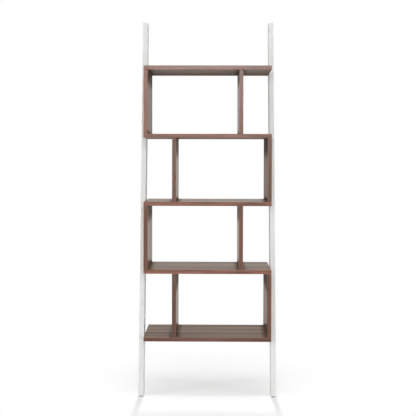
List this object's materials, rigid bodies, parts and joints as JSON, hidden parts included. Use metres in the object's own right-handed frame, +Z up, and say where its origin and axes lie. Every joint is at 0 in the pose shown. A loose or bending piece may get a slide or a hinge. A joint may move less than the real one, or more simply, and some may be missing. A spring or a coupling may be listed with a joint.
{
  "type": "bookcase",
  "caption": "Leaning bookcase: walnut shelves in a zigzag of open bays, carried between white lacquered rails that stand on the floor and lean back to the wall.",
  "frame": {"origin": "on the floor, at the middle of the overall box's bottom", "axes": "+Z up, front faces -Y, back towards the wall +Y, +X to the right as seen from the front"},
  "size_m": [0.6486, 0.323, 1.796],
  "materials": {
    "walnut_veneer": "fine straight-grained walnut veneer, satin clear coat",
    "white_lacquer": "gloss white lacquer over wood",
    "polished_steel": "polished bolt heads",
    "zinc_plated_steel": "zinc plated",
    "beech": "bare wood",
    "dark_plastic": "matt",
    "grey_rubber": "matt"
  },
  "bodies": {
    "root": {"shelf_1": "walnut_veneer", "shelf_2": "walnut_veneer", "shelf_3": "walnut_veneer", "shelf_4": "walnut_veneer", "shelf_5": "walnut_veneer", "bay_1_end_panel": "walnut_veneer", "bay_1_divider": "walnut_veneer", "bay_2_end_panel": "walnut_veneer", "bay_2_divider": "walnut_veneer", "bay_3_end_panel": "walnut_veneer", "bay_3_divider": "walnut_veneer", "bay_4_end_panel": "walnut_veneer", "bay_4_divider": "walnut_veneer", "rail_left": "white_lacquer", "rail_right": "white_lacquer", "connector_bolt_left_1": "polished_steel", "threaded_insert_left_1": "zinc_plated_steel", "connector_bolt_left_2": "polished_steel", "threaded_insert_left_2": "zinc_plated_steel", "connector_bolt_left_3": "polished_steel", "threaded_insert_left_3": "zinc_plated_steel", "connector_bolt_left_4": "polished_steel", "threaded_insert_left_4": "zinc_plated_steel", "connector_bolt_left_5": "polished_steel", "threaded_insert_left_5": "zinc_plated_steel", "connector_bolt_right_1": "polished_steel", "threaded_insert_right_1": "zinc_plated_steel", "connector_bolt_right_2": "polished_steel", "threaded_insert_right_2": "zinc_plated_steel", "connector_bolt_right_3": "polished_steel", "threaded_insert_right_3": "zinc_plated_steel", "connector_bolt_right_4": "polished_steel", "threaded_insert_right_4": "zinc_plated_steel", "connector_bolt_right_5": "polished_steel", "threaded_insert_right_5": "zinc_plated_steel", "tongue_bay_1_end_panel_bottom": "beech", "tongue_bay_1_end_panel_top": "beech", "tongue_bay_1_divider_bottom": "beech", "tongue_bay_1_divider_top": "beech", "tongue_bay_2_end_panel_bottom": "beech", "tongue_bay_2_end_panel_top": "beech", "tongue_bay_2_divider_bottom": "beech", "tongue_bay_2_divider_top": "beech", "tongue_bay_3_end_panel_bottom": "beech", "tongue_bay_3_end_panel_top": "beech", "tongue_bay_3_divider_bottom": "beech", "tongue_bay_3_divider_top": "beech", "tongue_bay_4_end_panel_bottom": "beech", "tongue_bay_4_end_panel_top": "beech", "tongue_bay_4_divider_bottom": "beech", "tongue_bay_4_divider_top": "beech", "floor_glide_left": "dark_plastic", "wall_pad_left": "grey_rubber", "floor_glide_right": "dark_plastic", "wall_pad_right": "grey_rubber", "wall_bracket": "zinc_plated_steel", "bracket_screw_left": "zinc_plated_steel", "bracket_screw_right": "zinc_plated_steel"}
  },
  "joints": []
}
